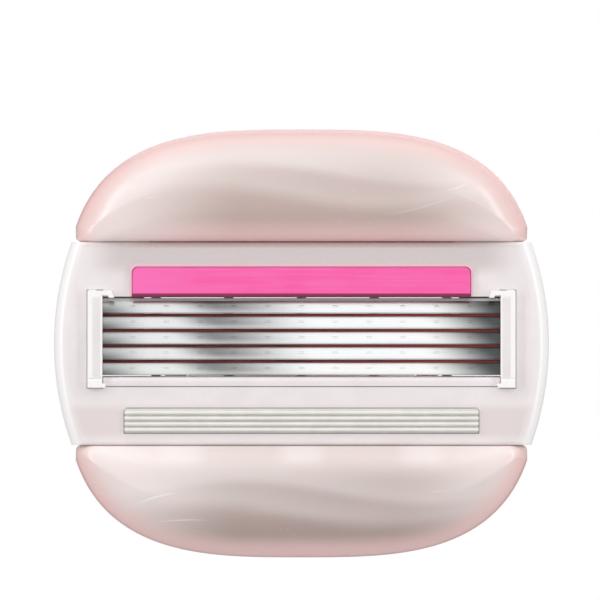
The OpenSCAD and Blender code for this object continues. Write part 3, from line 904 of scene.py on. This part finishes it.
def merged_copy(node, split=False):
    """A bmesh of a CAD node with its loose triangles joined into flat faces.

    Faces that wind round many openings are split again, so that they shade evenly.
    """
    bm = bmesh.new()
    bm.from_mesh(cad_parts[node].data)
    bmesh.ops.remove_doubles(bm, verts=bm.verts, dist=SAME_PLACE)
    bmesh.ops.dissolve_limit(bm, angle_limit=SAME_PLANE, verts=bm.verts, edges=bm.edges)
    if split:
        many = [f for f in bm.faces if len(f.verts) > 4]
        bmesh.ops.triangulate(bm, faces=many, quad_method="BEAUTY", ngon_method="BEAUTY")
    return bm


def mirrored(bm):
    """The same bmesh mirrored about the head's middle height."""
    for vert in bm.verts:
        vert.co.z = 2 * MID_Z - vert.co.z
    bmesh.ops.reverse_faces(bm, faces=bm.faces)
    return bm


def soften(piece, width, segments=3, angle=32):
    """Bevels a piece's hard edges and shades it smooth."""
    piece.data.shade_smooth()
    piece.data.set_sharp_from_angle(angle=math.radians(angle))
    bevel = piece.modifiers.new("soft_edges", "BEVEL")
    bevel.width = width
    bevel.segments = segments
    bevel.limit_method = "ANGLE"
    bevel.angle_limit = math.radians(angle)
    bevel.miter_outer = "MITER_ARC"
    bevel.harden_normals = True


def softened_node(node, material, body, slot, width, segments=3, bm=None):
    """A CAD node's own shape with softened edges, in place of the node."""
    bm = bm or merged_copy(node)
    piece = new_piece(node + "_moulding", bm, material, body, slot, node)
    soften(piece, width, segments)
    return piece


# ---------------------------------------------------------------- guard strip

GUARD_LOW, GUARD_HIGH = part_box("guard_strip")
GUARD_RIBS = 4
RIB_R = 0.15 * MM
RIB_FIRST = 0.28 * MM
RIB_PITCH = 0.48 * MM
RIB_RISE = 0.30 * MM
RIB_POINTS = 8
RIB_FOOT = 1.25 * RIB_R
GUARD_EDGE = 0.05 * MM
GUARD_SHARP = 40
EDGE_NEAR = 0.3 * MM
EDGE_FAR = 0.5 * MM
TOUCH = 0.01 * MM
PEG_EDGE = 0.12 * MM
PEG_SEGMENTS = 40
GUARD_DEEP = 0.95 * MM
GUARD_PEG_R = 0.55 * MM
GUARD_PEG_X = (-12.0, -4.0, 4.0, 12.0)


def guard_section():
    """Section of the strip as (y, z): a flat plate whose face carries round ribs."""
    plate = GUARD_LOW.y + RIB_RISE
    back = FACE_Y + GUARD_DEEP
    points = [(back, GUARD_LOW.z), (plate, GUARD_LOW.z)]
    for i in range(GUARD_RIBS):
        middle = GUARD_LOW.z + RIB_FIRST + i * RIB_PITCH
        points.append((plate, middle - RIB_FOOT))
        for k in range(RIB_POINTS + 1):
            turn = math.pi * k / RIB_POINTS
            points.append((GUARD_LOW.y + RIB_R - RIB_R * math.sin(turn),
                           middle - RIB_R * math.cos(turn)))
        points.append((plate, middle + RIB_FOOT))
    points += [(plate, GUARD_HIGH.z), (back, GUARD_HIGH.z)]
    return points


def guard_mesh():
    """The ribbed strip, extruded along X, with its runners behind it."""
    bm = bmesh.new()
    loop = [bm.verts.new((GUARD_LOW.x, y, z)) for y, z in guard_section()]
    start = bm.faces.new(loop)
    grown = bmesh.ops.extrude_face_region(bm, geom=[start])["geom"]
    moved = [g for g in grown if isinstance(g, bmesh.types.BMVert)]
    bmesh.ops.translate(bm, verts=moved, vec=(GUARD_HIGH.x - GUARD_LOW.x, 0, 0))
    ends = [e for e in bm.edges if abs(e.verts[0].co.x - e.verts[1].co.x) < TOUCH
            and min(v.co.y for v in e.verts) < FACE_Y + EDGE_NEAR
            and max(v.co.y for v in e.verts) < FACE_Y + EDGE_FAR]
    bmesh.ops.bevel(bm, geom=ends, offset=GUARD_EDGE, segments=3, profile=0.5,
                    affect="EDGES", material=-1)
    bmesh.ops.recalc_face_normals(bm, faces=bm.faces)
    for x in GUARD_PEG_X:
        add_disc(bm, (x * MM, (GUARD_LOW.z + GUARD_HIGH.z) / 2), GUARD_PEG_R,
                 GUARD_HIGH.y, FACE_Y + GUARD_DEEP - TOUCH)
    return bm


# ---------------------------------------------------------------- gel bars

# Outline of a bar: |x / half width|^power + |z / top|^power = 1
BAR_POWER = 3.15
BAR_HALF_W = 20.2 * MM
BAR_INNER_W = (GEL_HIGH.x - GEL_LOW.x) / 2
BAR_CORNER = 0.5 * MM
CORNER_GROWS = 0.45
CORNER_MOST = 0.4
GEL_SHARP = 50
INNER_INSET = 0.03 * MM
BAR_INNER = GEL_LOW.z - MID_Z + INNER_INSET
BAR_BACK = GEL_HIGH.y
BAR_CREST = GEL_LOW.y
BAR_SHOULDER = 2.6 * MM
INNER_START = 0.4 * MM
INNER_LIFT = 3.4 * MM
LIP_GAP = 0.03 * MM
LIP_REACH = BAR_INNER - HALF_H - LIP_GAP
ARC_POINTS = 88
LINE_POINTS = 44
CORNER_POINTS = 7
CARRIER_INSET = 1.3 * MM
CARRIER_FRONT = CARRIER_LOW.y
ANCHOR_X = (-11.0, -5.5, 0.0, 5.5, 11.0)
ANCHOR_RISE = 12.6 * MM
ANCHOR_R = 1.48 * MM
ANCHOR_SUNK = 0.40 * MM
ANCHOR_THICK = 0.35 * MM
RECESS_PLAY = 0.05 * MM
RIM_DRAW = 0.35 * MM
RIM_RINGS = ((0.10 * MM, 0.12 * MM), (0.0, 0.4 * MM))
SIDE_TOP = 0.6 * MM


def arc_height(x, draw):
    """Height of the outline's arc above the middle, drawn in by draw."""
    share = min(1.0, abs(x) / (BAR_HALF_W - draw))
    return (TOP_Z - draw) * (1 - share ** BAR_POWER) ** (1 / BAR_POWER)


def bar_outline(draw, lift):
    """Points round an upper bar, its arc drawn in and its inner edge lifted, (x, height)."""
    low = BAR_INNER + lift
    corner = min(BAR_CORNER + CORNER_GROWS * draw, CORNER_MOST * (TOP_Z - draw - low))
    half = BAR_HALF_W - draw
    meet = half * (1 - ((low + corner) / (TOP_Z - draw)) ** BAR_POWER) ** (1 / BAR_POWER)
    reach = min(BAR_INNER_W - draw, meet)
    points = []
    for i in range(ARC_POINTS):
        x = reach * math.sin(math.pi * (0.5 - i / (ARC_POINTS - 1)))
        points.append((x, max(low + corner, arc_height(x, draw))))
    turn = [math.pi / 2 * i / CORNER_POINTS for i in range(1, CORNER_POINTS + 1)]
    points += [(-reach + corner * (1 - math.cos(t)), low + corner * (1 - math.sin(t)))
               for t in turn]
    run = reach - corner
    points += [(run * (2 * i / LINE_POINTS - 1), low) for i in range(1, LINE_POINTS)]
    points += [(reach - corner * (1 - math.cos(t)), low + corner * (1 - math.sin(t)))
               for t in reversed(turn)]
    return points


def inner_lift(y):
    """How far the inner edge is drawn in at a depth, on a flatter quarter round.

    Its thin front lip reaches towards the frame and swings clear of it as the wing bends.
    """
    start = FACE_Y + INNER_START
    rise = max(0.0, (start - y) / (start - BAR_CREST))
    return INNER_LIFT * (1 - math.sqrt(max(0.0, 1 - rise * rise))) - LIP_REACH


def bar_profile():
    """Rings of a bar from its back rim to its crest, as (draw, lift, y)."""
    settings = shape()
    rings = [(RIM_DRAW, RIM_DRAW, BAR_BACK)]
    rings += [(draw, draw, BAR_BACK - deep) for draw, deep in RIM_RINGS]
    shoulder = FACE_Y + BAR_SHOULDER
    rings.append((0.0, 0.0, shoulder + SIDE_TOP))
    for i in range(settings.gel_rings + 1):
        turn = math.pi / 2 * i / settings.gel_rings
        y = shoulder + (BAR_CREST - shoulder) * math.sin(turn)
        rings.append((settings.gel_draw * (1 - math.cos(turn)), inner_lift(y), y))
    return rings


def place_ring(verts, order, side, draw, lift, y):
    """Moves a ring's vertices, which know their order, onto the outline."""
    outline = bar_outline(draw, lift)
    for vert in verts:
        x, height = outline[vert[order]]
        vert.co = (x, y, MID_Z + side * height)


def grow_rings(bm, edges, order, side, rings):
    """Extrudes a ring of edges through the given (draw, lift, y) rings."""
    for draw, lift, y in rings:
        grown = bmesh.ops.extrude_edge_only(bm, edges=edges)["geom"]
        verts = [g for g in grown if isinstance(g, bmesh.types.BMVert)]
        edges = [g for g in grown if isinstance(g, bmesh.types.BMEdge)]
        place_ring(verts, order, side, draw, lift, y)
    return edges


def add_disc(bm, centre, radius, back, front):
    """A short round peg along Y with a softened rear edge."""
    made = bmesh.ops.create_cone(
        bm, cap_ends=True, segments=PEG_SEGMENTS, radius1=radius, radius2=radius,
        depth=back - front, matrix=Matrix.Translation(
            (centre[0], (back + front) / 2, centre[1])) @ Matrix.Rotation(
                math.radians(90), 4, "X"))
    rim = [e for v in made["verts"] for e in v.link_edges
           if all(abs(w.co.y - back) < TOUCH for w in e.verts)]
    bmesh.ops.bevel(bm, geom=list(set(rim)), offset=PEG_EDGE, segments=3, profile=0.5,
                    affect="EDGES", material=-1)


def gel_bar(name, node, side, body):
    """A domed bar, its recess for the carrier and its anchor heads."""
    bm = bmesh.new()
    order = bm.verts.layers.int.new("order")
    count = len(bar_outline(0.0, 0.0))
    ring = bmesh.ops.create_circle(bm, segments=count, radius=1.0)["verts"]
    bm.verts.ensure_lookup_table()
    for i, vert in enumerate(ring):
        vert[order] = i
    rings = bar_profile()
    place_ring(ring, order, side, *rings[0])
    start = list(bm.edges)
    last = grow_rings(bm, start, order, side, rings[1:])
    bmesh.ops.contextual_create(bm, geom=last)
    inset = CARRIER_INSET - RECESS_PLAY
    recess = [(inset, inset, BAR_BACK), (inset, inset, CARRIER_FRONT)]
    inner = grow_rings(bm, start, order, side, recess)
    bmesh.ops.contextual_create(bm, geom=inner)
    bmesh.ops.recalc_face_normals(bm, faces=bm.faces)
    head_back = CARRIER_HIGH.y - ANCHOR_SUNK
    for x in ANCHOR_X:
        add_disc(bm, (x * MM, MID_Z + side * ANCHOR_RISE), ANCHOR_R,
                 head_back, head_back - ANCHOR_THICK)
    piece = new_piece(name, bm, "pink_gel", body, "pink_gel", node)
    piece.data.shade_smooth()
    piece.data.set_sharp_from_angle(angle=math.radians(GEL_SHARP))
    return piece


# ---------------------------------------------------------------- blades

BLADE_TILT = math.radians(22)
STRIP_W = 1.1 * MM
STRIP_T = 0.1 * MM
HONE = 0.10 * MM
HONE_PART = 0.55
GRIND = 0.28 * MM
WELD_AT = 0.56
WELD_R = 0.12 * MM
WELD_RISE = 0.018 * MM
WELD_LONG = 2.0
WELD_WIDE = 0.8


def blade_axes(node):
    """The edge's middle, and the directions across the strip and out of its face."""
    low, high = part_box(node)
    edge = Vector((0.0, low.y, low.z))
    across = Vector((0.0, math.sin(BLADE_TILT), math.cos(BLADE_TILT)))
    outward = Vector((0.0, -math.cos(BLADE_TILT), math.sin(BLADE_TILT)))
    return edge, across, outward, low.x, high.x


def blade_section():
    """Section of the strip as (across, out): honed edge, ground flank, flat back."""
    half = STRIP_T / 2
    return [(0.0, 0.0), (HONE, half * HONE_PART), (GRIND, half), (STRIP_W, half),
            (STRIP_W, -half), (GRIND, -half), (HONE, -half * HONE_PART)]


def blade(number):
    """One ground strip with its spot welds."""
    node = f"blade_{number}"
    edge, across, outward, left, right = blade_axes(node)
    bm = bmesh.new()
    share = bm.verts.layers.float.new("across")
    loop = []
    for run, out in blade_section():
        vert = bm.verts.new(edge + across * run + outward * out + Vector((left, 0, 0)))
        vert[share] = run / STRIP_W
        loop.append(vert)
    start = bm.faces.new(loop)
    grown = bmesh.ops.extrude_face_region(bm, geom=[start])["geom"]
    moved = [g for g in grown if isinstance(g, bmesh.types.BMVert)]
    bmesh.ops.translate(bm, verts=moved, vec=(right - left, 0, 0))
    bmesh.ops.recalc_face_normals(bm, faces=bm.faces)
    for i in range(shape().weld_count):
        x = (i - (shape().weld_count - 1) / 2) * shape().weld_pitch
        add_weld(bm, edge + Vector((x, 0, 0)), across, outward, share)
    return new_piece(node + "_ground", bm, "blade_steel", f"blade_unit_{number}",
                     "blade_steel", node)


def add_weld(bm, edge, across, outward, share):
    """A flat nugget on the strip's face, longer along the blade."""
    place = edge + across * (STRIP_W * WELD_AT) + outward * (STRIP_T / 2)
    along = Vector((1, 0, 0))
    turn = Matrix((along * WELD_LONG, across * WELD_WIDE,
                   outward * (WELD_RISE / WELD_R))).transposed()
    made = bmesh.ops.create_uvsphere(
        bm, u_segments=14, v_segments=8, radius=WELD_R,
        matrix=Matrix.Translation(place) @ turn.to_4x4())
    faces = {f for v in made["verts"] for f in v.link_faces}
    for vert in made["verts"]:
        vert[share] = WELD_AT
    for face in faces:
        face.smooth = True


# ---------------------------------------------------------------- hinge bands

BAND_EDGE = 0.28 * MM
BAND_SLICES = 12


def hinge_band(name, node):
    """A soft band across the slot between frame and wing, sliced along its height."""
    low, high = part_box(node)
    bm = bmesh.new()
    size = high - low
    bmesh.ops.create_cube(bm, size=1.0, matrix=Matrix.Translation(
        (low + high) / 2) @ Matrix.Diagonal((*size, 1.0)))
    bmesh.ops.bevel(bm, geom=list(bm.edges), offset=BAND_EDGE, segments=5, profile=0.5,
                    affect="EDGES", material=-1)
    for i in range(1, BAND_SLICES):
        height = low.z + size.z * i / BAND_SLICES
        bmesh.ops.bisect_plane(bm, geom=list(bm.verts) + list(bm.edges) + list(bm.faces),
                               plane_co=(0, 0, height), plane_no=(0, 0, 1))
    piece = new_piece(name, bm, "hinge_elastomer", None, "hinge_elastomer", node)
    piece.data.shade_smooth()
    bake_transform(piece)
    return piece


# ---------------------------------------------------------------- operators


class CARTRIDGE_OT_mouldings(Operator):
    """Softens the edges of the moulded plastic pieces and gives them their finish"""

    bl_idname = "cartridge.mouldings"
    bl_label = "Moulded pieces"

    def execute(self, context):
        soft = shape().edge_soft
        softened_node("outer_frame", "frame_pearl", "head", "pearl_plastic", soft)
        softened_node("connector", "pearl_plastic", "handle_connector", "pearl_plastic",
                      soft)
        softened_node("blade_housing", "pearl_plastic", "head", "pearl_plastic", soft,
                      bm=merged_copy("blade_housing", split=True))
        softened_node("upper_wing_carrier", "pearl_plastic", "upper_wing",
                      "pearl_plastic", soft)
        softened_node("lower_wing_carrier", "pearl_plastic", "lower_wing",
                      "pearl_plastic", soft, bm=mirrored(merged_copy("upper_wing_carrier")))
        for node in ("clip_left", "clip_right"):
            softened_node(node, "clip_pearl", "head", "pearl_plastic",
                          shape().clip_soft)
        return {"FINISHED"}


class CARTRIDGE_OT_strips(Operator):
    """Makes the lubricating strip and the ribbed guard strip"""

    bl_idname = "cartridge.strips"
    bl_label = "Lubricating and guard strips"

    def execute(self, context):
        softened_node("lubricating_strip", "pink_lubricant", "head", "pink_lubricant",
                      shape().strip_soft, 4)
        guard = new_piece("guard_strip_ribbed", guard_mesh(), "guard_elastomer", "head",
                          "guard_elastomer", "guard_strip")
        guard.data.shade_smooth()
        guard.data.set_sharp_from_angle(angle=math.radians(GUARD_SHARP))
        return {"FINISHED"}


class CARTRIDGE_OT_blades(Operator):
    """Makes the five blades and finishes their supports and spring fingers"""

    bl_idname = "cartridge.blades"
    bl_label = "Blades, supports and springs"

    def execute(self, context):
        for number in BLADES:
            blade(number)
            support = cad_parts[f"blade_support_{number}"]
            support.data.materials.clear()
            support.data.materials.append(finish_of("support_steel"))
            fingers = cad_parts[f"spring_fingers_{number}"]
            fingers.data.materials.clear()
            fingers.data.materials.append(finish_of("pearl_plastic"))
        return {"FINISHED"}


class CARTRIDGE_OT_gel_bars(Operator):
    """Makes the two domed gel bars"""

    bl_idname = "cartridge.gel_bars"
    bl_label = "Gel bars"

    def execute(self, context):
        gel_bar("upper_gel_dome", "upper_gel_bar", UPPER, "upper_wing")
        gel_bar("lower_gel_dome", "lower_gel_bar", LOWER, "lower_wing")
        return {"FINISHED"}


class CARTRIDGE_OT_hinge_bands(Operator):
    """Makes the soft bands that the wings bend on"""

    bl_idname = "cartridge.hinge_bands"
    bl_label = "Hinge bands"

    def execute(self, context):
        hinge_band("upper_hinge_soft", "upper_hinge_band")
        hinge_band("lower_hinge_soft", "lower_hinge_band")
        return {"FINISHED"}


# ---------------------------------------------------------------- stage

VIEW_W = 50.8 * MM
LENS = 400.0
SENSOR = 36.0
VIEW_RISE = 3.69 * MM
VIEW_SIDE = -0.127 * MM
WORLD_STRENGTH = 0.36
FLOOR_SIZE = 6.0
FLOOR_Z = -0.5
FLOOR_TONE = (0.9, 0.89, 0.89)

# Each light: name, place from the face's middle in metres, size in metres, power in watts
SOFTBOXES = (
    ("key", (-0.06, -0.60, 0.62), (1.5, 0.85), 3.55),
    ("fill", (0.05, -0.62, -0.04), (0.5, 0.4), 0.25),
    ("top", (0.0, 0.04, 0.5), (0.5, 0.3), 0.35),
    ("rear", (0.12, 0.8, 0.4), (0.9, 0.6), 1.2),
    ("edge_0", (-0.45, -0.22, 0.12), (0.10, 0.6), 1.1),
    ("edge_2", (0.45, -0.22, 0.12), (0.10, 0.6), 1.1),
)


def add_card(name, size, place, material):
    """A flat card of the stage."""
    bm = bmesh.new()
    bmesh.ops.create_grid(bm, x_segments=2, y_segments=2, size=size / 2,
                          matrix=Matrix.Translation(place))
    mesh = bpy.data.meshes.new(name)
    bm.to_mesh(mesh)
    bm.free()
    card = bpy.data.objects.new(name, mesh)
    bpy.context.scene.collection.objects.link(card)
    mesh.materials.append(material)
    return card


def add_softbox(name, place, target, size, power):
    """A soft rectangular light that looks at a target."""
    light = bpy.data.lights.new(name, "AREA")
    light.shape = "RECTANGLE"
    light.size, light.size_y = size
    light.energy = power
    box = bpy.data.objects.new(name, light)
    box.location = place
    box.rotation_mode = "QUATERNION"
    box.rotation_quaternion = (Vector(target) - Vector(place)).to_track_quat("-Z", "Y")
    box.visible_camera = False
    bpy.context.scene.collection.objects.link(box)
    return box


def add_world(strength):
    """Soft white surroundings, pure white where they are looked at."""
    world = bpy.data.worlds.new("studio")
    bpy.context.scene.world = world
    world.use_nodes = True
    tree = world.node_tree
    background = tree.nodes["Background"]
    background.inputs["Color"].default_value = (1.0, 1.0, 1.0, 1.0)
    path = tree.nodes.new("ShaderNodeLightPath")
    seen = maths(tree, "MULTIPLY", path.outputs["Is Camera Ray"], 1.0 - strength)
    join(tree, maths(tree, "ADD", seen, strength), background.inputs["Strength"])


class CARTRIDGE_OT_stage(Operator):
    """Sets up the pale floor, the soft lights and the camera"""

    bl_idname = "cartridge.stage"
    bl_label = "Stage, lights and camera"

    def execute(self, context):
        scene = context.scene
        scene.view_settings.view_transform = "Standard"
        middle = Vector((0.0, FACE_Y, MID_Z))
        add_card("floor", FLOOR_SIZE, Vector((0.0, 0.0, FLOOR_Z)),
                 pale_card("floor_card", FLOOR_TONE))
        add_world(WORLD_STRENGTH)
        for name, offset, size, power in SOFTBOXES:
            add_softbox(name, middle + Vector(offset), middle, size, power)
        camera = bpy.data.cameras.new("camera")
        camera.lens = LENS
        camera.sensor_width = SENSOR
        camera.clip_start = 0.01
        camera.clip_end = 20.0
        eye = bpy.data.objects.new("camera", camera)
        distance = VIEW_W * LENS / SENSOR
        eye.location = (VIEW_SIDE, FACE_Y - distance, MID_Z + VIEW_RISE)
        eye.rotation_euler = (math.radians(90), 0, 0)
        scene.collection.objects.link(eye)
        scene.camera = eye
        return {"FINISHED"}


STEPS = (
    CARTRIDGE_OT_stage,
    CARTRIDGE_OT_mouldings,
    CARTRIDGE_OT_strips,
    CARTRIDGE_OT_blades,
    CARTRIDGE_OT_gel_bars,
    CARTRIDGE_OT_hinge_bands,
)


class CARTRIDGE_PT_finisher(Panel):
    """Lists the cartridge's pieces and sizes"""

    bl_idname = "CARTRIDGE_PT_finisher"
    bl_label = "Shaving cartridge"
    bl_space_type = "VIEW_3D"
    bl_region_type = "UI"
    bl_category = "Cartridge"

    def draw(self, context):
        column = self.layout.column()
        for settings in (context.scene.cartridge_shape, context.scene.cartridge_colours):
            for key in settings.__annotations__:
                column.prop(settings, key)
        for step in STEPS:
            column.operator(step.bl_idname)


CLASSES = (CartridgeShape, CartridgeColours, *STEPS, CARTRIDGE_PT_finisher)


def register():
    for item in CLASSES:
        bpy.utils.register_class(item)
    bpy.types.Scene.cartridge_shape = PointerProperty(type=CartridgeShape)
    bpy.types.Scene.cartridge_colours = PointerProperty(type=CartridgeColours)


def unregister():
    del bpy.types.Scene.cartridge_colours
    del bpy.types.Scene.cartridge_shape
    for item in reversed(CLASSES):
        bpy.utils.unregister_class(item)


def main():
    register()
    bpy.ops.cartridge.stage()
    bpy.ops.cartridge.mouldings()
    bpy.ops.cartridge.strips()
    bpy.ops.cartridge.blades()
    bpy.ops.cartridge.gel_bars()
    bpy.ops.cartridge.hinge_bands()


if __name__ == "__main__":
    main()
